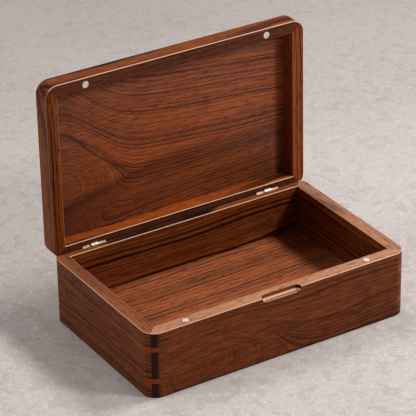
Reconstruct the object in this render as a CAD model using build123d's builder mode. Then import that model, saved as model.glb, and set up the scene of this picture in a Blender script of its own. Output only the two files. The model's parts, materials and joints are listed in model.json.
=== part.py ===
"""A wooden box with a hinged lid, standing open, in millimetres.

The origin is the centre of the underside, +X runs along the box and the front faces -Y.
The lid is drawn in the same closed coordinates as the base, on a frame that is turned open.
"""

import os
from math import cos, radians, sin

from build123d import *

os.makedirs("parts", exist_ok=True)

# Outside of the box
length = 280.0
depth = 177.0
base_height = 67.0
lid_height = 19.5
corner_radius = 13.0

# Timber of the base and of the lid
base_wall = 13.0
lid_rail = 12.5
rim_ease = 0.6
foot_ease = 0.6
lid_roundover = 2.5

# Floor panel, held by a tongue in a groove all round
floor_height = 19.5
floor_thickness = 8.0
tongue_thickness = 5.0
tongue_length = 4.5
groove_play = 0.5
field_clearance = 0.3

# Lid panel, let into a rebate from above
lid_panel_thickness = 4.0
rebate_width = 6.0
rebate_clearance = 0.1

# Keys across the mitred corners of the base
key_thickness = 4.8
key_reach = 11.0
lower_key_height = 17.5
upper_key_height = 50.0

# Finger scoop in the front edge of the rim
scoop_length = 42.0
scoop_radius = 5.3

# Catch: round magnets in the base, strike discs screwed to the lid
catch_end_inset = 42.0
catch_front_inset = 6.8
catch_radius = 3.25
magnet_thickness = 3.0
disc_thickness = 1.0
catch_clearance = 0.05
catch_ease = 0.3

# Hinge line, opening, and the bevels behind the hinge line that close on each other
opening_angle = 90.5
hinge_inset = 5.5
hinge_end_inset = 43.0
parting_gap = 0.4
bevel_gap = 1.1

# Hinge metal
leaf_length = 25.0
leaf_width = 5.4
leaf_thickness = 0.8
leaf_gap = 0.3
leaf_clearance = 0.05
knuckle_radius = 2.0
knuckle_length = 3.4
knuckle_gap = 0.3
knuckle_clearance = 0.3
pin_radius = 0.7
pin_clearance = 0.05

# Countersunk screws, whose heads are as high as the leaf or disc that they hold
hinge_screw_spacing = 17.0
hinge_screw_line = 2.9
hinge_screw_shank_radius = 0.7
hinge_screw_length = 6.0
strike_screw_shank_radius = 1.0
strike_screw_length = 8.0
screw_slot_width = 0.4
screw_slot_depth = 0.35
screw_clearance = 0.03

# A cutting shape runs this far past what it cuts
overrun = 3.0

# Sizes that follow from the ones above
lid_bottom = base_height + parting_gap
lid_top = lid_bottom + lid_height
inner_length = length - 2 * base_wall
inner_depth = depth - 2 * base_wall
lid_inner_length = length - 2 * lid_rail
lid_inner_depth = depth - 2 * lid_rail
hinge_y = depth / 2 - hinge_inset
hinge_z = base_height + parting_gap / 2
barrel_length = 2 * knuckle_length + knuckle_gap
hinge_places = {"left": hinge_end_inset - length / 2, "right": length / 2 - hinge_end_inset}
catch_y = catch_front_inset - depth / 2
catch_places = [(catch_end_inset - length / 2, catch_y), (length / 2 - catch_end_inset, catch_y)]
key_heights = (lower_key_height, upper_key_height)
hinge_screw_head_radius = hinge_screw_shank_radius + leaf_thickness
strike_screw_head_radius = strike_screw_shank_radius + disc_thickness
below_centre = (Align.CENTER, Align.CENTER, Align.MAX)

# The lid's frame is the base's frame turned back about the hinge line
turn = radians(opening_angle)
base_frame = Plane.XY
lid_origin = (
    0,
    hinge_y - hinge_y * cos(turn) - hinge_z * sin(turn),
    hinge_z + hinge_y * sin(turn) - hinge_z * cos(turn),
)
lid_frame = Plane(origin=lid_origin, x_dir=(1, 0, 0), z_dir=(0, sin(turn), cos(turn)))

# From the hinge line the base's bevel runs down and the lid's bevel runs up
DOWN = 1
UP = -1
bevel_sin = sin(turn / 2)
bevel_cos = cos(turn / 2)

# The side of a hinge's middle that a knuckle lies on
LEFT = -1
RIGHT = 1

# The directions from the middle of the box to its corners
corners = {
    "front_left": (-1, -1),
    "front_right": (1, -1),
    "back_left": (-1, 1),
    "back_right": (1, 1),
}


def bevel_point(way, along, out):
    """A point on or off a bevel: how far along it from the hinge line and how far out of it."""
    return (
        hinge_y + along * bevel_cos + out * bevel_sin,
        hinge_z + way * (out * bevel_cos - along * bevel_sin),
    )


def along_at_parting(out):
    """How far along the bevel the parting face is met, at a distance out of the bevel."""
    return (parting_gap / 2 + out * bevel_cos) / bevel_sin


def cross_section(frame, x):
    """A plane across the box at x, with y and z of the frame as its own axes."""
    return Plane(origin=frame.from_local_coords((x, 0, 0)), x_dir=frame.y_dir, z_dir=frame.x_dir)


def hinge_screw_places(frame, way, hinge_x):
    """Where the two screw heads of one leaf lie, looking out of the bevel."""
    y, z = bevel_point(way, hinge_screw_line, -leaf_gap / 2)
    outward = frame.y_dir * bevel_sin + frame.z_dir * (way * bevel_cos)
    return [
        Plane(origin=frame.from_local_coords((x, y, z)), x_dir=frame.x_dir, z_dir=outward)
        for x in (hinge_x - hinge_screw_spacing / 2, hinge_x + hinge_screw_spacing / 2)
    ]


def strike_places():
    """Where the strike discs lie, looking out of the lid's parting face."""
    return [
        Plane(
            origin=lid_frame.from_local_coords((x, y, lid_bottom)),
            x_dir=lid_frame.x_dir,
            z_dir=-lid_frame.z_dir,
        )
        for x, y in catch_places
    ]


def cut_countersinks(places, head_radius, shank_radius):
    """Cut a 90 degree countersink, with room for the screw's head, at each place."""
    with Locations(*places):
        Cone(
            shank_radius + screw_clearance,
            head_radius + screw_clearance,
            head_radius - shank_radius,
            align=below_centre,
            mode=Mode.SUBTRACT,
        )


def cut_bevel(frame, way):
    """Cut the bevel along the back edge of the current ring."""
    wood_face = -bevel_gap / 2
    start = along_at_parting(wood_face) - overrun
    far = 2 * hinge_inset + overrun
    with BuildSketch(cross_section(frame, 0)) as waste:
        Polygon(
            bevel_point(way, start, wood_face),
            bevel_point(way, far, wood_face),
            bevel_point(way, far, far),
            bevel_point(way, start, far),
            align=None,
        )
    extrude(waste.sketch, amount=length / 2 + overrun, both=True, mode=Mode.SUBTRACT)


def cut_hinge_seat(frame, way, hinge_x):
    """Cut a leaf's mortise and the barrel's pocket out of the current ring."""
    mortise_floor = -leaf_gap / 2 - leaf_thickness
    start = along_at_parting(mortise_floor) - overrun
    end = leaf_width + leaf_clearance
    with BuildSketch(cross_section(frame, hinge_x)) as mortise:
        Polygon(
            bevel_point(way, start, mortise_floor),
            bevel_point(way, end, mortise_floor),
            bevel_point(way, end, overrun),
            bevel_point(way, start, overrun),
            align=None,
        )
    extrude(mortise.sketch, amount=leaf_length / 2 + leaf_clearance, both=True, mode=Mode.SUBTRACT)
    with BuildSketch(cross_section(frame, hinge_x)) as pocket:
        with Locations((hinge_y, hinge_z)):
            Circle(knuckle_radius + knuckle_clearance)
    extrude(pocket.sketch, amount=barrel_length / 2 + knuckle_clearance, both=True, mode=Mode.SUBTRACT)


def wall_outline(side, wall):
    """The plan of one wall between its two 45 degree mitres, run on past both ends."""
    outer_x = length / 2 + overrun
    outer_y = depth / 2 + overrun
    inner_x = length / 2 - wall - overrun
    inner_y = depth / 2 - wall - overrun
    outlines = {
        "front": [(-outer_x, -outer_y), (outer_x, -outer_y), (inner_x, -inner_y), (-inner_x, -inner_y)],
        "back": [(outer_x, outer_y), (-outer_x, outer_y), (-inner_x, inner_y), (inner_x, inner_y)],
        "left": [(-outer_x, outer_y), (-outer_x, -outer_y), (-inner_x, -inner_y), (-inner_x, inner_y)],
        "right": [(outer_x, -outer_y), (outer_x, outer_y), (inner_x, inner_y), (inner_x, -inner_y)],
    }
    return outlines[side]


def corner_triangle(x_sign, y_sign, past):
    """The plan of a saw cut across a corner, run on past the outside by a distance."""
    corner_x = x_sign * (length / 2 + past)
    corner_y = y_sign * (depth / 2 + past)
    reach = key_reach + 2 * past
    return [
        (corner_x, corner_y),
        (corner_x, corner_y - y_sign * reach),
        (corner_x - x_sign * reach, corner_y),
    ]


# The base's four walls are shaped as one ring, which is parted at the mitres further down
with BuildPart() as base_ring:
    with BuildSketch(base_frame):
        RectangleRounded(length, depth, corner_radius)
        Rectangle(inner_length, inner_depth, mode=Mode.SUBTRACT)
    extrude(amount=base_height)
    chamfer(base_ring.faces().sort_by(Axis.Z)[-1].edges(), rim_ease)
    chamfer(base_ring.faces().sort_by(Axis.Z)[0].outer_wire().edges(), foot_ease)

    # Groove for the floor panel's tongue
    with BuildSketch(base_frame.offset(floor_height - tongue_thickness)):
        Rectangle(
            inner_length + 2 * (tongue_length + groove_play),
            inner_depth + 2 * (tongue_length + groove_play),
        )
    extrude(amount=tongue_thickness, mode=Mode.SUBTRACT)

    # Saw cuts for the keys, across every corner
    for height in key_heights:
        with BuildSketch(base_frame.offset(height - key_thickness / 2)):
            for x_sign, y_sign in corners.values():
                Polygon(*corner_triangle(x_sign, y_sign, overrun), align=None)
        extrude(amount=key_thickness, mode=Mode.SUBTRACT)

    # Back bevel and hinge seats
    cut_bevel(base_frame, DOWN)
    for hinge_x in hinge_places.values():
        cut_hinge_seat(base_frame, DOWN, hinge_x)

    # Finger scoop: a round-nosed cut run along the rim's front edge
    scoop_travel = scoop_length - 2 * scoop_radius
    with Locations((0, -depth / 2, base_height)):
        Cylinder(scoop_radius, scoop_travel, rotation=(0, 90, 0), mode=Mode.SUBTRACT)
    with Locations(*[(x, -depth / 2, base_height) for x in (-scoop_travel / 2, scoop_travel / 2)]):
        Sphere(scoop_radius, mode=Mode.SUBTRACT)

    # Blind holes for the magnets
    with Locations(*[(x, y, base_height) for x, y in catch_places]):
        Cylinder(catch_radius + catch_clearance, magnet_thickness, align=below_centre, mode=Mode.SUBTRACT)

for side in ("front", "back", "left", "right"):
    with BuildPart() as base_side:
        add(base_ring.part)
        with BuildSketch(base_frame.offset(-overrun)):
            Polygon(*wall_outline(side, base_wall), align=None)
        extrude(amount=base_height + 2 * overrun, mode=Mode.INTERSECT)
    base_side.part.label = f"{side}_wall"
    export_step(base_side.part, f"parts/{side}_wall.step")

# Each corner's two keys fill their saw cuts and follow the rounded corner
for corner, (x_sign, y_sign) in corners.items():
    with BuildPart() as keys:
        for height in key_heights:
            with BuildSketch(base_frame.offset(height - key_thickness / 2)):
                Polygon(*corner_triangle(x_sign, y_sign, 0), align=None)
                RectangleRounded(length, depth, corner_radius, mode=Mode.INTERSECT)
            extrude(amount=key_thickness)
    keys.part.label = f"{corner}_keys"
    export_step(keys.part, f"parts/{corner}_keys.step")

# Floor panel: the field drops between the walls and the tongue runs into their groove
with BuildPart() as bottom_panel:
    with BuildSketch(base_frame.offset(floor_height - floor_thickness)):
        Rectangle(inner_length - 2 * field_clearance, inner_depth - 2 * field_clearance)
    extrude(amount=floor_thickness)
    with BuildSketch(base_frame.offset(floor_height - tongue_thickness)):
        Rectangle(inner_length + 2 * tongue_length, inner_depth + 2 * tongue_length)
    extrude(amount=tongue_thickness)
bottom_panel.part.label = "bottom_panel"
export_step(bottom_panel.part, "parts/bottom_panel.step")

# Magnets, flush with the rim
with BuildPart() as base_magnets:
    with Locations(*[(x, y, base_height) for x, y in catch_places]):
        Cylinder(catch_radius, magnet_thickness, align=below_centre)
    chamfer(base_magnets.edges().group_by(Axis.Z)[-1], catch_ease)
base_magnets.part.label = "base_magnets"
export_step(base_magnets.part, "parts/base_magnets.step")

# The lid's four rails, shaped as one ring like the walls, with the rebate for the panel
with BuildPart() as lid_ring:
    with BuildSketch(lid_frame.offset(lid_bottom)):
        RectangleRounded(length, depth, corner_radius)
        Rectangle(lid_inner_length, lid_inner_depth, mode=Mode.SUBTRACT)
    extrude(amount=lid_height)
    lid_up = Axis(lid_frame.origin, lid_frame.z_dir)
    fillet(lid_ring.faces().sort_by(lid_up)[-1].outer_wire().edges(), lid_roundover)
    chamfer(lid_ring.faces().sort_by(lid_up)[0].edges(), rim_ease)
    with BuildSketch(lid_frame.offset(lid_top - lid_panel_thickness)):
        Rectangle(lid_inner_length + 2 * rebate_width, lid_inner_depth + 2 * rebate_width)
    extrude(amount=lid_panel_thickness, mode=Mode.SUBTRACT)

    # Back bevel and hinge seats
    cut_bevel(lid_frame, UP)
    for hinge_x in hinge_places.values():
        cut_hinge_seat(lid_frame, UP, hinge_x)

    # Seats of the strike discs
    with Locations(*strike_places()):
        Cylinder(catch_radius + catch_clearance, disc_thickness, align=below_centre, mode=Mode.SUBTRACT)

for side in ("front", "back", "left", "right"):
    with BuildPart() as lid_side:
        add(lid_ring.part)
        with BuildSketch(lid_frame.offset(lid_bottom - overrun)):
            Polygon(*wall_outline(side, lid_rail), align=None)
        extrude(amount=lid_height + 2 * overrun, mode=Mode.INTERSECT)
    lid_side.part.label = f"lid_{side}_rail"
    export_step(lid_side.part, f"parts/lid_{side}_rail.step")

# Lid panel, flush with the top of the rails
with BuildPart() as lid_panel:
    with BuildSketch(lid_frame.offset(lid_top - lid_panel_thickness)):
        Rectangle(
            lid_inner_length + 2 * (rebate_width - rebate_clearance),
            lid_inner_depth + 2 * (rebate_width - rebate_clearance),
        )
    extrude(amount=lid_panel_thickness)
lid_panel.part.label = "lid_panel"
export_step(lid_panel.part, "parts/lid_panel.step")

# Strike discs, each with a countersunk hole
with BuildPart() as lid_strike_discs:
    with Locations(*strike_places()):
        Cylinder(catch_radius, disc_thickness, align=below_centre)
    cut_countersinks(strike_places(), strike_screw_head_radius, strike_screw_shank_radius)
lid_strike_discs.part.label = "lid_strike_discs"
export_step(lid_strike_discs.part, "parts/lid_strike_discs.step")


def slotted_screws(places, head_radius, shank_radius, shank_length):
    """Countersunk screws, one at each place, whose shanks are driven tight into the wood."""
    with BuildPart() as screws:
        with Locations(*places):
            Cone(shank_radius, head_radius, head_radius - shank_radius, align=below_centre)
            Cylinder(shank_radius, shank_length, align=below_centre)
        with Locations(*places):
            Box(
                2 * head_radius,
                screw_slot_width,
                screw_slot_depth,
                align=below_centre,
                mode=Mode.SUBTRACT,
            )
    return screws


lid_strike_screws = slotted_screws(
    strike_places(), strike_screw_head_radius, strike_screw_shank_radius, strike_screw_length
)
lid_strike_screws.part.label = "lid_strike_screws"
export_step(lid_strike_screws.part, "parts/lid_strike_screws.step")


def hinge_leaf(frame, way, hinge_x, own_side):
    """One leaf let into a bevel, with its knuckle on its own side of the hinge's middle."""
    outer = -leaf_gap / 2
    inner = outer - leaf_thickness
    knuckle_start = cross_section(frame, hinge_x + own_side * knuckle_gap / 2)
    with BuildPart() as leaf:
        with BuildSketch(cross_section(frame, hinge_x)):
            Polygon(
                bevel_point(way, along_at_parting(outer), outer),
                bevel_point(way, leaf_width, outer),
                bevel_point(way, leaf_width, inner),
                bevel_point(way, along_at_parting(inner), inner),
                align=None,
            )
        extrude(amount=leaf_length / 2, both=True)

        # Room for the other leaf's knuckle
        with BuildSketch(knuckle_start):
            with Locations((hinge_y, hinge_z)):
                Circle(knuckle_radius + knuckle_clearance)
        extrude(
            amount=-own_side * (knuckle_gap + knuckle_length + knuckle_clearance),
            mode=Mode.SUBTRACT,
        )

        # The leaf's own knuckle, bored for the pin
        for radius, mode in ((knuckle_radius, Mode.ADD), (pin_radius + pin_clearance, Mode.SUBTRACT)):
            with BuildSketch(knuckle_start):
                with Locations((hinge_y, hinge_z)):
                    Circle(radius)
            extrude(amount=own_side * knuckle_length, mode=mode)

        cut_countersinks(
            hinge_screw_places(frame, way, hinge_x), hinge_screw_head_radius, hinge_screw_shank_radius
        )
    return leaf


# Two hinges, each with a leaf on either body and a pin through both knuckles
for place, hinge_x in hinge_places.items():
    base_leaf = hinge_leaf(base_frame, DOWN, hinge_x, LEFT)
    base_leaf.part.label = f"{place}_hinge_base_leaf"
    export_step(base_leaf.part, f"parts/{place}_hinge_base_leaf.step")

    lid_leaf = hinge_leaf(lid_frame, UP, hinge_x, RIGHT)
    lid_leaf.part.label = f"{place}_hinge_lid_leaf"
    export_step(lid_leaf.part, f"parts/{place}_hinge_lid_leaf.step")

    with BuildPart() as hinge_pin:
        with BuildSketch(cross_section(base_frame, hinge_x)):
            with Locations((hinge_y, hinge_z)):
                Circle(pin_radius)
        extrude(amount=barrel_length / 2, both=True)
    hinge_pin.part.label = f"{place}_hinge_pin"
    export_step(hinge_pin.part, f"parts/{place}_hinge_pin.step")

# Hinge screws, grouped by the body that they are driven into
for body, frame, way in (("base", base_frame, DOWN), ("lid", lid_frame, UP)):
    places = [place for x in hinge_places.values() for place in hinge_screw_places(frame, way, x)]
    hinge_screws = slotted_screws(
        places, hinge_screw_head_radius, hinge_screw_shank_radius, hinge_screw_length
    )
    hinge_screws.part.label = f"{body}_hinge_screws"
    export_step(hinge_screws.part, f"parts/{body}_hinge_screws.step")
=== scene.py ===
"""Looks for the wooden box: timber, metal, stone floor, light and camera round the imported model."""

import json
from math import cos, radians, sin

import bmesh
import bpy
from mathutils import Matrix, Vector


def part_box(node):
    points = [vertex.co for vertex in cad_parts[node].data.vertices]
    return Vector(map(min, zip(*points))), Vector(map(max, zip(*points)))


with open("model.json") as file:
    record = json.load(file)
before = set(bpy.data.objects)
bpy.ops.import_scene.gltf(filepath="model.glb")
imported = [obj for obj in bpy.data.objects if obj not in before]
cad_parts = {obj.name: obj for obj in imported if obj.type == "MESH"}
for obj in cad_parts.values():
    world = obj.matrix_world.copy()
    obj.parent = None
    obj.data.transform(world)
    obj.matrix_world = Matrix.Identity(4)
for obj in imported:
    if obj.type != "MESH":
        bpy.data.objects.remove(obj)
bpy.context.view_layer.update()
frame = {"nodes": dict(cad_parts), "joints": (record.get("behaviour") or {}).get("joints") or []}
nodes = frame["nodes"]
scene = bpy.context.scene

# Colours, as they look under plain light
WALNUT_PALE = (0.63, 0.315, 0.125)
WALNUT_BROWN = (0.37, 0.160, 0.050)
WALNUT_DARK = (0.14, 0.060, 0.025)
# Painted sheen on the rims of the walls, and painted shade on the lid's rims
FRONT_RIM_SHEEN = (0.80, 0.56, 0.42)
SIDE_RIM_SHEEN = (0.62, 0.36, 0.235)
BACK_RIM_SHEEN = (0.66, 0.32, 0.16)
LID_RIM_SHADE = (0.44, 0.22, 0.12)
HAZE = (0.64, 0.55, 0.48)
# Painted highlight on the arrises
ARRIS_HIGHLIGHT = (1.0, 0.80, 0.64)
KEY_PALE = (0.62, 0.28, 0.08)
KEY_BROWN = (0.48, 0.20, 0.05)
NICKEL = (0.97, 0.96, 0.94)
PALE_STEEL = (0.97, 0.93, 0.84)
STONE_PALE = (0.86, 0.82, 0.80)
STONE_DARK = (0.75, 0.705, 0.68)
# Painted shade on the far floor
STONE_FAR_SHADE = (0.68, 0.64, 0.62)
STONE_LIGHT = (0.91, 0.88, 0.865)
ROOM = (0.98, 0.97, 0.96)

# How much darker parts of those colours are
RIM_STREAK_SHADE = 0.84
END_GRAIN_SHADE = 0.7
# How dark the painted shade in the hinge bevels and at the foot of the walls is
GAP_AND_FOOT_PAINTED_SHADE = 0.2
METAL_BLOOM_SHADE = 0.84

# Patches of noise in a metre of board: along the grain, across it and into the board
DRIFT = (3.5, 9.0, 9.0)
RIPPLE = (16.0, 70.0, 70.0)
FADE = (9.0, 40.0, 40.0)
FIBRE = (42.0, 520.0, 520.0)
PORES = (90.0, 1100.0, 1100.0)
UNEVEN = (18.0, 60.0, 60.0)

# How far the rings ripple, and the rings' own bands in a metre
RIPPLE_REACH = 0.003
BANDS = 60.0

# The knot in the lid's panel: its middle, its flatness, and how steeply it ends
KNOT_ALONG, KNOT_ACROSS = -0.122, -0.030
KNOT_FLATNESS, KNOT_STEEPNESS = 0.8, 1000.0

# The rings round the knot: how softly they part, how far they bulge, and how they fan out
PARTING = 0.014
BULGE, BULGE_TILT, BULGE_STEEPNESS = 0.030, 0.016, 420.0
FAN, FAN_TILT = 0.02, 0.11

# The dark line over the knot and the dark band below it: height, steepness of the edge, and strength
HOOK_LIFT, HOOK_LIFT_STEEPNESS = 0.056, 560.0
LINE_DROP, LINE_STEEPNESS, LINE_STRENGTH = 0.024, 240000.0, 0.6
BAND_DROP, BAND_STEEPNESS, BAND_STRENGTH = 0.024, 30000.0, 0.55
BAND_SLOPE = 0.21
BELOW_BAND, BELOW_STRENGTH = (0.0, 0.012), 0.35
LINE_WAVER = 0.010

# The ovals on the front wall: their middle, their flatness, and how steeply they end
OVALS_ALONG, OVALS_ACROSS = -0.070, -0.016
OVALS_FLATNESS, OVALS_STEEPNESS = 0.22, 1500.0

# Slopes between which a mark begins or ends: 0 is square to a direction, and 1 faces it
TOP_BEGINS = (0.9, 0.98)
ARRIS_BEGINS = (0.5, 0.66)
ARRIS_ENDS = (0.76, 0.92)
BACK_BEGINS = (0.0, 0.3)
BEVEL_BEGINS = (0.85, 0.97)
END_GRAIN_BEGINS = (0.12, 0.42)

# Heights between which the painted contact shadow at the foot of the walls ends
FOOT_SHADOW_ENDS = (0.0006, 0.0024)

# How strongly the pores darken the wood, and how strongly the painted shade darkens the bevels and the
# foot of the walls
PORE_STRENGTH = 0.65
GAP_AND_FOOT_SHADE_STRENGTH = 0.97

# Depth of the relief on each surface
WALNUT_RELIEF = 0.00005
KEY_RELIEF = 0.00004
METAL_RELIEF = 0.000004
STONE_RELIEF = 0.0003

# How much each surface mirrors, and how blurred that is
KEY_GLOSS = 0.13
STONE_GLOSS = 0.25
METAL_METALLIC = 0.35
NICKEL_ROUGHNESS = 0.3
HINGE_ROUGHNESS = 0.2
WOOD_ROUGHNESS, FIBRE_ROUGHNESS, PORE_ROUGHNESS = 0.34, 0.14, 0.15
STONE_ROUGHNESS, MOTTLE_ROUGHNESS = 0.55, 0.25

# The room's brightness on the object, and as the camera and reflections see it
ROOM_LIGHT = 0.1
ROOM_SEEN = 0.38

# Half the floor's width, and where the lamps point
FLOOR_REACH = 8.0
LAMP_TARGET = Vector((0.0, 0.0, 0.08))

# Directions, in the open pose that the model is stored in
lid_hinge = frame["joints"][0]
turn = radians(-min(lid_hinge["range_deg"]))
ALONG = Vector((1.0, 0.0, 0.0))
BACK = Vector((0.0, 1.0, 0.0))
UP = Vector((0.0, 0.0, 1.0))
LID_OUT = Vector((0.0, sin(turn), cos(turn)))
LID_BACK = Vector((0.0, cos(turn), -sin(turn)))


def linear(colour):
    """A display colour as scene light, with its alpha."""
    return tuple(c / 12.92 if c <= 0.04045 else ((c + 0.055) / 1.055) ** 2.4 for c in colour) + (1.0,)


def shade(colour, factor):
    """A display colour made darker or lighter."""
    return tuple(c * factor for c in colour)


def middle(name):
    """The middle of a node's box."""
    low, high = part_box(name)
    return tuple((low + high) / 2)


def dress(name, material):
    """Gives a node one material in all its slots."""
    slots = nodes[name].data.materials
    slots.clear()
    slots.append(material)


class Value:
    """A node's output, on which Python's signs add Math nodes."""

    def __init__(self, paint, socket):
        self.paint = paint
        self.socket = socket

    def maths(self, operation, *others):
        return self.paint.add("ShaderNodeMath", {"operation": operation}, *(self, *others))

    def __add__(self, other):
        return self.maths("ADD", other)

    __radd__ = __add__

    def __mul__(self, other):
        return self.maths("MULTIPLY", other)

    __rmul__ = __mul__

    def __sub__(self, other):
        return self.maths("SUBTRACT", other)

    def __rsub__(self, other):
        return self.paint.add("ShaderNodeMath", {"operation": "SUBTRACT"}, other, self)

    def clamp(self):
        return self.paint.add("ShaderNodeClamp", {}, self)

    def between(self, low, high):
        """0 below low, 1 above high, and smooth between them."""
        settings = {"interpolation_type": "SMOOTHSTEP"}
        return self.paint.add("ShaderNodeMapRange", settings, self, low, high, 0.0, 1.0)

    def bell(self, steepness):
        """1 where the value is 0, and falling off to both sides."""
        return (self * self * -steepness).maths("EXPONENT")


class Paint:
    """A material's node tree with its Principled shader."""

    def __init__(self, name):
        self.material = bpy.data.materials.new(name)
        self.material.use_nodes = True
        self.tree = self.material.node_tree
        self.shader = self.tree.nodes["Principled BSDF"]

    def put(self, socket, value):
        if isinstance(value, Value):
            self.tree.links.new(value.socket, socket)
        else:
            socket.default_value = value

    def put_on(self, name, value):
        """Sets or links one of the shader's own sockets."""
        self.put(self.shader.inputs[name], value)

    def add(self, kind, settings, *inputs, out=0, **named):
        """A node of a kind, with its settings first, then its inputs in order or by name."""
        node = self.tree.nodes.new(kind)
        for key, value in settings.items():
            setattr(node, key, value)
        for socket, value in zip(node.inputs, inputs):
            self.put(socket, value)
        for key, value in named.items():
            self.put(node.inputs[key], value)
        return Value(self, node.outputs[out])

    def mix(self, factor, low, high):
        """From one colour to another."""
        node = self.tree.nodes.new("ShaderNodeMix")
        node.data_type = "RGBA"
        self.put(node.inputs["Factor"], factor)
        for socket, colour in ((node.inputs[6], low), (node.inputs[7], high)):
            self.put(socket, colour)
        return Value(self, node.outputs[2])

    def object_coords(self):
        """The object's own coordinates, which ride with it."""
        return self.add("ShaderNodeTexCoord", {}, out="Object")

    def board_coords(self, centre, along, out):
        """Coordinates from a board's middle: along its grain, across it, and out of its face."""
        moved = self.vector("SUBTRACT", self.object_coords(), centre)
        lie = Matrix((along, out.cross(along), out)).transposed().to_euler()
        return self.add("ShaderNodeMapping", {"vector_type": "TEXTURE"}, moved, Rotation=lie)

    def facing(self, direction):
        """How far the surface faces a direction, from -1 to 1."""
        normal = self.add("ShaderNodeTexCoord", {}, out="Normal")
        return self.vector("DOT_PRODUCT", normal, direction, out="Value")

    def split(self, coords):
        """The first two of a vector's numbers."""
        node = self.tree.nodes.new("ShaderNodeSeparateXYZ")
        self.put(node.inputs[0], coords)
        return Value(self, node.outputs[0]), Value(self, node.outputs[1])

    def vector(self, operation, *inputs, out=0):
        return self.add("ShaderNodeVectorMath", {"operation": operation}, *inputs, out=out)

    def noise(self, coords, stretch, detail=2.0, roughness=0.5, out=0):
        """Noise whose patches shrink along each axis by a stretch."""
        return self.add(
            "ShaderNodeTexNoise",
            {"noise_dimensions": "3D"},
            out=out,
            Vector=self.vector("MULTIPLY", coords, stretch),
            Scale=1.0,
            Detail=detail,
            Roughness=roughness,
        )

    def noise_over(self, value, scale, detail, roughness):
        """Noise over a single number."""
        return self.add(
            "ShaderNodeTexNoise",
            {"noise_dimensions": "1D"},
            W=value,
            Scale=scale,
            Detail=detail,
            Roughness=roughness,
        )

    def bump(self, height, depth):
        """Relief from a height of 0 to 1 and a depth in metres."""
        relief = self.add("ShaderNodeBump", {}, Strength=1.0, Distance=depth, Height=height)
        self.put_on("Normal", relief)


def rings_about(x, y, flat, steepness):
    """The distance from a knot, and how far the rings there follow it."""
    distance = (x * x * flat + y * y).maths("SQRT")
    return distance, distance.bell(steepness)


def knotted(paint, coords, ring):
    """Parts the rings round a knot near a panel's left end, and gathers them to the right of it."""
    x, y = paint.split(coords)
    aside, above = x - KNOT_ALONG, y - KNOT_ACROSS
    side = above.maths("DIVIDE", above.maths("ABSOLUTE") + PARTING)
    bulge = aside.bell(BULGE_STEEPNESS) * (side * BULGE_TILT + BULGE)
    fan = x * (side * FAN_TILT + FAN)
    distance, near = rings_about(aside, above, KNOT_FLATNESS, KNOT_STEEPNESS)

    # A dark line that hooks round the knot, and a dark band that rises to the right below it
    uneven = y + paint.noise(coords, UNEVEN, detail=3.0) * LINE_WAVER - LINE_WAVER / 2
    hook = uneven - aside.bell(HOOK_LIFT_STEEPNESS) * HOOK_LIFT + LINE_DROP
    below = x.maths("MINIMUM", 0.0) * BAND_SLOPE - BAND_DROP - uneven
    hooked = hook.bell(LINE_STEEPNESS) * (x * -14.0).clamp() * LINE_STRENGTH
    banded = below.bell(BAND_STEEPNESS) * BAND_STRENGTH + below.between(*BELOW_BAND) * BELOW_STRENGTH

    # The panel is also a little darker in the knot, to the left and towards the top
    darker = hooked + banded + near * 0.1 + (x * -6.0).clamp() * 0.3 + (y * 4.0).clamp() * 0.35
    return (ring - side * bulge + fan) * (1.0 - near) + distance * near * 0.3, darker


def ovals(paint, coords, ring):
    """Rings that close into flat ovals low on the left of a board."""
    x, y = paint.split(coords)
    aside, above = x - OVALS_ALONG, y - OVALS_ACROSS
    distance, near = rings_about(aside, above, OVALS_FLATNESS, OVALS_STEEPNESS)

    # The board is also a little darker to the right and towards its foot
    darker = (x * 3.0).clamp() * 0.2 + (y * -9.0).clamp() * 0.3
    return ring * (1.0 - near) + distance * near, darker


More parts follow.
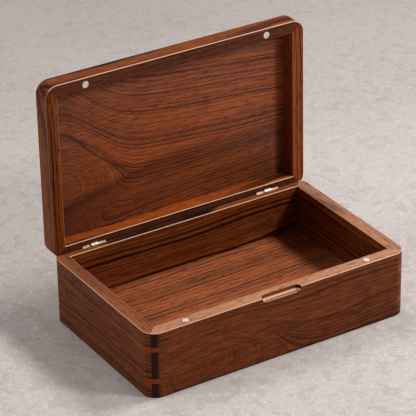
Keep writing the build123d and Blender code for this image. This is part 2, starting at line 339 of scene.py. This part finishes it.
def walnut(
    name,
    along,
    out,
    heart,
    wave,
    tone=1.0,
    rim_sheen_and_shade=None,
    lid=False,
    ends=0.0,
    figure=None,
    fineness=320.0,
    banding=0.45,
    lining=0.45,
    grain=0.8,
    arris_highlight=0.8,
    haze=0.0,
    gloss=0.11,
):
    """Lacquered walnut, with growth rings round a far heart line, painted sheen and shade on the rims,
    painted highlights on the arrises and painted shade in the bevels and at the foot.

    along, out, heart: the grain's direction, the shown face's direction, and where the heart line lies
    wave, fineness: how far the rings drift, and how many fine lines a metre of them has
    tone, gloss: how light the board is, and how much it mirrors
    rim, ends: the colour painted on the rims' faces, a painted sheen on the walls and a painted shade
    on the lid, and how dark the end grain beside a mitre is
    lid, figure: whether the board is in the lid, and a function that bends the rings
    banding, lining, grain: the strength of broad bands, of fine lines and of dark veins
    wear, haze: how strongly the painted highlight lightens the arrises, and how much pale haze lies on
    the board
    """
    rim_way, back = (-LID_OUT, LID_BACK) if lid else (UP, BACK)
    pale, brown, dark = (linear(shade(c, tone)) for c in (WALNUT_PALE, WALNUT_BROWN, WALNUT_DARK))
    paint = Paint(name + "_walnut")
    coords = paint.board_coords(middle(name), along, out)

    # Growth rings, drifting slowly along the grain and rippling a little
    drift = paint.noise(coords, DRIFT, out="Color")
    ripple = paint.noise(coords, RIPPLE, out="Color")
    moved = paint.vector("ADD", coords, heart)
    moved = paint.vector("MULTIPLY_ADD", drift, (0.0, wave, wave), moved)
    moved = paint.vector("MULTIPLY_ADD", ripple, (0.0, RIPPLE_REACH, RIPPLE_REACH), moved)
    across = paint.vector("MULTIPLY", moved, (0.0, 1.0, 1.0))
    ring = paint.vector("LENGTH", across, out="Value")
    if figure:
        ring, darker = figure(paint, coords, ring)

    bands = paint.noise_over(ring, BANDS, detail=3.0, roughness=0.6)
    lines = paint.noise_over(ring, fineness, detail=2.0, roughness=0.5)
    fade = paint.noise(coords, FADE, detail=1.0).between(0.30, 0.60)
    vein = lines.between(0.48, 0.62) * (0.25 + fade * 0.85)
    vein = vein * (0.25 + bands.between(0.35, 0.65) * 0.9)

    # Fibres and open pores run straight along the grain
    fibre = paint.noise(coords, FIBRE, detail=4.0, roughness=0.7)
    pore = 1.0 - paint.noise(coords, PORES, detail=1.0).between(0.32, 0.46)

    # Bands, lines and fibres from pale to brown, then haze, figure, the painted sheen and shade on the
    # rims, veins, pores and end grain
    broad = (bands.between(0.3, 0.7) - 0.5) * banding
    narrow = (lines.between(0.3, 0.7) - 0.5) * lining
    depth = (broad + narrow + fibre.between(0.32, 0.68) * 0.6 + 0.25).clamp()
    colour = paint.mix(depth, pale, brown)
    if haze:
        colour = paint.mix(haze, colour, linear(HAZE))
    if figure:
        colour = paint.mix(darker.clamp(), colour, dark)
    # The rims' faces get a painted sheen on the walls and a painted shade on the lid
    if rim_sheen_and_shade:
        top = paint.facing(rim_way).between(*TOP_BEGINS)
        streaks = paint.mix(depth, linear(rim_sheen_and_shade), linear(shade(rim_sheen_and_shade, RIM_STREAK_SHADE)))
        colour = paint.mix(top, colour, streaks)
    colour = paint.mix((vein * grain).clamp(), colour, dark)
    colour = paint.mix(pore * PORE_STRENGTH, colour, dark)
    if ends:
        end = paint.facing(-along).between(*END_GRAIN_BEGINS)
        colour = paint.mix(end * ends, colour, linear(shade(WALNUT_DARK, END_GRAIN_SHADE)))

    # Painted highlights make the arrises pale; painted shade darkens the bevels behind the hinge line,
    # and a painted contact shadow the foot of the walls
    slope, behind = paint.facing(rim_way), paint.facing(back)
    arris = slope.between(*ARRIS_BEGINS) * (1.0 - slope.between(*ARRIS_ENDS))
    arris = arris * (1.0 - behind.between(*BACK_BEGINS))
    colour = paint.mix(arris * arris_highlight, colour, linear(ARRIS_HIGHLIGHT))
    painted_gap_and_foot_shade = paint.facing((rim_way + back).normalized()).between(*BEVEL_BEGINS)
    # A painted contact shadow darkens the lowest part of the walls
    if not lid:
        height = paint.vector("DOT_PRODUCT", paint.object_coords(), UP, out="Value")
        painted_gap_and_foot_shade = painted_gap_and_foot_shade.maths("MAXIMUM", 1.0 - height.between(*FOOT_SHADOW_ENDS))
    colour = paint.mix(painted_gap_and_foot_shade * GAP_AND_FOOT_SHADE_STRENGTH, colour, linear(shade(WALNUT_DARK, GAP_AND_FOOT_PAINTED_SHADE)))

    paint.put_on("Base Color", colour)
    paint.put_on("Roughness", WOOD_ROUGHNESS + fibre * FIBRE_ROUGHNESS + pore * PORE_ROUGHNESS)
    paint.put_on("Specular IOR Level", gloss)
    paint.bump(fibre * 0.5 - pore, WALNUT_RELIEF)
    return paint.material


def key_wood(name):
    """A paler, plainer lacquered wood."""
    paint = Paint(name + "_wood")
    coords = paint.board_coords(middle(name), ALONG, UP)
    fibre = paint.noise(coords, (60.0, 60.0, 1400.0), detail=3.0, roughness=0.6)
    clouds = paint.noise(coords, (90.0, 90.0, 200.0))
    depth = (fibre * 0.7 + clouds * 0.5 - 0.1).clamp()
    paint.put_on("Base Color", paint.mix(depth, linear(KEY_PALE), linear(KEY_BROWN)))
    paint.put_on("Roughness", WOOD_ROUGHNESS + fibre * FIBRE_ROUGHNESS)
    paint.put_on("Specular IOR Level", KEY_GLOSS)
    paint.bump(fibre, KEY_RELIEF)
    return paint.material


def metal(name, colour, roughness):
    """Polished plate with fine handling marks."""
    paint = Paint(name)
    coords = paint.object_coords()
    marks = paint.noise(coords, (900.0, 2600.0, 2600.0), detail=3.0)
    bloom = paint.noise(coords, (220.0, 220.0, 220.0))
    dull = linear(shade(colour, METAL_BLOOM_SHADE))
    paint.put_on("Base Color", paint.mix(bloom.between(0.4, 0.75), linear(colour), dull))
    paint.put_on("Roughness", roughness + marks * 0.12 + bloom * 0.06)
    paint.put_on("Metallic", METAL_METALLIC)
    paint.bump(marks, METAL_RELIEF)
    return paint.material


def stone():
    """Pale honed stone with soft clouds, small pale marks, a fine grit and painted shade that darkens
    it towards the back.
    """
    paint = Paint("stone_floor")
    coords = paint.object_coords()
    clouds = paint.noise(coords, (5.0, 5.0, 5.0), detail=6.0, roughness=0.65)
    mottle = paint.noise(coords, (55.0, 55.0, 55.0), detail=5.0, roughness=0.7)
    grit = paint.noise(coords, (420.0, 420.0, 420.0), roughness=0.6)
    spots = paint.noise(coords, (120.0, 120.0, 120.0), detail=4.0, roughness=0.7).between(0.5, 0.72)
    scuffs = 1.0 - (mottle - 0.5).maths("ABSOLUTE").between(0.0, 0.04)
    tone = (clouds * 0.9 + mottle * 0.8 + grit * 0.5 - 0.6).between(0.1, 0.9)
    colour = paint.mix(tone, linear(STONE_PALE), linear(STONE_DARK))
    colour = paint.mix(scuffs * 0.45 + spots * 0.55, colour, linear(STONE_LIGHT))
    # Painted shade, darker towards the back and a little to the right
    across, away = paint.split(coords)
    far = (away + across * 0.3).between(0.0, 1.0)
    paint.put_on("Base Color", paint.mix(far * 0.6, colour, linear(STONE_FAR_SHADE)))
    paint.put_on("Roughness", STONE_ROUGHNESS + mottle * MOTTLE_ROUGHNESS)
    paint.put_on("Specular IOR Level", STONE_GLOSS)
    paint.bump(mottle * 0.6 + grit * 0.4, STONE_RELIEF)
    return paint.material


# Each board is cut from its own place in the log, and shows its own face
BOARDS = {
    "front_wall": dict(
        along=ALONG,
        out=-BACK,
        heart=(0.3, 0.12, -0.05),
        wave=0.030,
        tone=0.96,
        rim_sheen_and_shade=FRONT_RIM_SHEEN,
        ends=0.9,
        figure=ovals,
        banding=0.25,
        lining=0.25,
        grain=0.4,
    ),
    "back_wall": dict(
        along=ALONG,
        out=-BACK,
        heart=(1.7, 0.13, -0.03),
        wave=0.024,
        tone=0.95,
        rim_sheen_and_shade=BACK_RIM_SHEEN,
        grain=1.0,
    ),
    "left_wall": dict(
        along=BACK,
        out=-ALONG,
        heart=(3.1, 0.14, -0.03),
        wave=0.020,
        tone=0.95,
        rim_sheen_and_shade=SIDE_RIM_SHEEN,
        banding=0.3,
        grain=0.5,
    ),
    "right_wall": dict(
        along=BACK,
        out=-ALONG,
        heart=(4.9, -0.12, -0.03),
        wave=0.020,
        rim_sheen_and_shade=FRONT_RIM_SHEEN,
    ),
    "bottom_panel": dict(
        along=ALONG,
        out=UP,
        heart=(6.4, 0.20, -0.05),
        wave=0.024,
        tone=1.25,
        fineness=450.0,
        banding=0.3,
        lining=0.6,
        grain=1.0,
        haze=0.14,
    ),
    "lid_front_rail": dict(
        along=ALONG,
        out=-LID_OUT,
        heart=(8.8, 0.09, -0.04),
        wave=0.014,
        rim_sheen_and_shade=LID_RIM_SHADE,
        lid=True,
    ),
    "lid_back_rail": dict(
        along=ALONG,
        out=-LID_OUT,
        heart=(9.6, 0.09, -0.04),
        wave=0.014,
        tone=1.3,
        rim_sheen_and_shade=LID_RIM_SHADE,
        lid=True,
    ),
    "lid_left_rail": dict(
        along=-LID_BACK,
        out=-LID_OUT,
        heart=(11.0, 0.06, -0.03),
        wave=0.020,
        lid=True,
        grain=1.0,
        arris_highlight=0.3,
    ),
    "lid_right_rail": dict(
        along=-LID_BACK,
        out=-LID_OUT,
        heart=(12.4, 0.07, -0.03),
        wave=0.020,
        tone=1.15,
        lid=True,
        arris_highlight=0.3,
    ),
    "lid_panel": dict(
        along=ALONG,
        out=-LID_OUT,
        heart=(14.2, 0.25, -0.03),
        wave=0.014,
        tone=1.3,
        lid=True,
        figure=knotted,
        fineness=720.0,
        banding=0.35,
        lining=0.7,
        grain=0.95,
        haze=0.04,
        gloss=0.35,
    ),
}
for name, cut in BOARDS.items():
    dress(name, walnut(name, **cut))

for corner in ("front_left", "front_right", "back_left", "back_right"):
    dress(corner + "_keys", key_wood(corner + "_keys"))

nickel = metal("nickel_plate", NICKEL, NICKEL_ROUGHNESS)
hinge_metal = metal("hinge_metal", PALE_STEEL, HINGE_ROUGHNESS)
for name in ("base_magnets", "lid_strike_discs", "lid_strike_screws"):
    dress(name, nickel)
for name in nodes:
    if "hinge" in name:
        dress(name, hinge_metal)

# Stone floor
floor_mesh = bpy.data.meshes.new("stone_floor")
shape = bmesh.new()
bmesh.ops.create_grid(shape, x_segments=1, y_segments=1, size=FLOOR_REACH)
shape.to_mesh(floor_mesh)
shape.free()
floor = bpy.data.objects.new("stone_floor", floor_mesh)
floor_mesh.materials.append(stone())
scene.collection.objects.link(floor)

# The room: dim to the object, pale to the camera and in reflections
world = bpy.data.worlds.new("room")
world.use_nodes = True
room = world.node_tree
rays = room.nodes.new("ShaderNodeLightPath")
seen = room.nodes.new("ShaderNodeMath")
seen.operation = "MAXIMUM"
room.links.new(rays.outputs["Is Camera Ray"], seen.inputs[0])
room.links.new(rays.outputs["Is Glossy Ray"], seen.inputs[1])
level = room.nodes.new("ShaderNodeMapRange")
level.inputs["To Min"].default_value = ROOM_LIGHT
level.inputs["To Max"].default_value = ROOM_SEEN
room.links.new(seen.outputs["Value"], level.inputs["Value"])
room.links.new(level.outputs["Result"], room.nodes["Background"].inputs["Strength"])
room.nodes["Background"].inputs["Color"].default_value = linear(ROOM)
scene.world = world


def lamp(name, azimuth, elevation, distance, size, power):
    """A square soft lamp aimed at the box. Azimuth 0 is the box's right, 90 is behind it."""
    light = bpy.data.lights.new(name, "AREA")
    light.shape = "SQUARE"
    light.size = size
    light.energy = power
    holder = bpy.data.objects.new(name, light)
    around, above = radians(azimuth), radians(elevation)
    way = Vector((cos(around) * cos(above), sin(around) * cos(above), sin(above)))
    holder.location = LAMP_TARGET + way * distance
    holder.rotation_euler = (-way).to_track_quat("-Z", "Y").to_euler()
    scene.collection.objects.link(holder)


lamp("key_lamp", azimuth=-8.0, elevation=50.0, distance=2.3, size=0.6, power=30.0)
lamp("front_lamp", azimuth=-50.0, elevation=38.0, distance=1.9, size=0.3, power=13.0)
lamp("back_lamp", azimuth=92.0, elevation=66.0, distance=2.4, size=0.8, power=10.0)
lamp("left_lamp", azimuth=158.0, elevation=36.0, distance=2.2, size=0.8, power=11.0)

# The photograph's camera
CAMERA_PLACE = (-1.0237, -1.6262, 1.1387)
CAMERA_AZIMUTH = 31.622
CAMERA_ELEVATION = 28.067
CAMERA_ROLL = -1.033
CAMERA_LENS = 204.76
CAMERA_SENSOR = 36.0
azimuth = radians(CAMERA_AZIMUTH)
elevation = radians(CAMERA_ELEVATION)
ahead = Vector((sin(azimuth) * cos(elevation), cos(azimuth) * cos(elevation), -sin(elevation)))
right = ahead.cross(UP).normalized()
up = right.cross(ahead)
turned = Matrix((right, up, -ahead)).transposed() @ Matrix.Rotation(radians(CAMERA_ROLL), 3, "Z")
camera = bpy.data.objects.new("camera", bpy.data.cameras.new("camera"))
camera.matrix_world = Matrix.Translation(CAMERA_PLACE) @ turned.to_4x4()
camera.data.lens = CAMERA_LENS
camera.data.sensor_width = CAMERA_SENSOR
scene.collection.objects.link(camera)
scene.camera = camera
scene.view_settings.view_transform = "Standard"
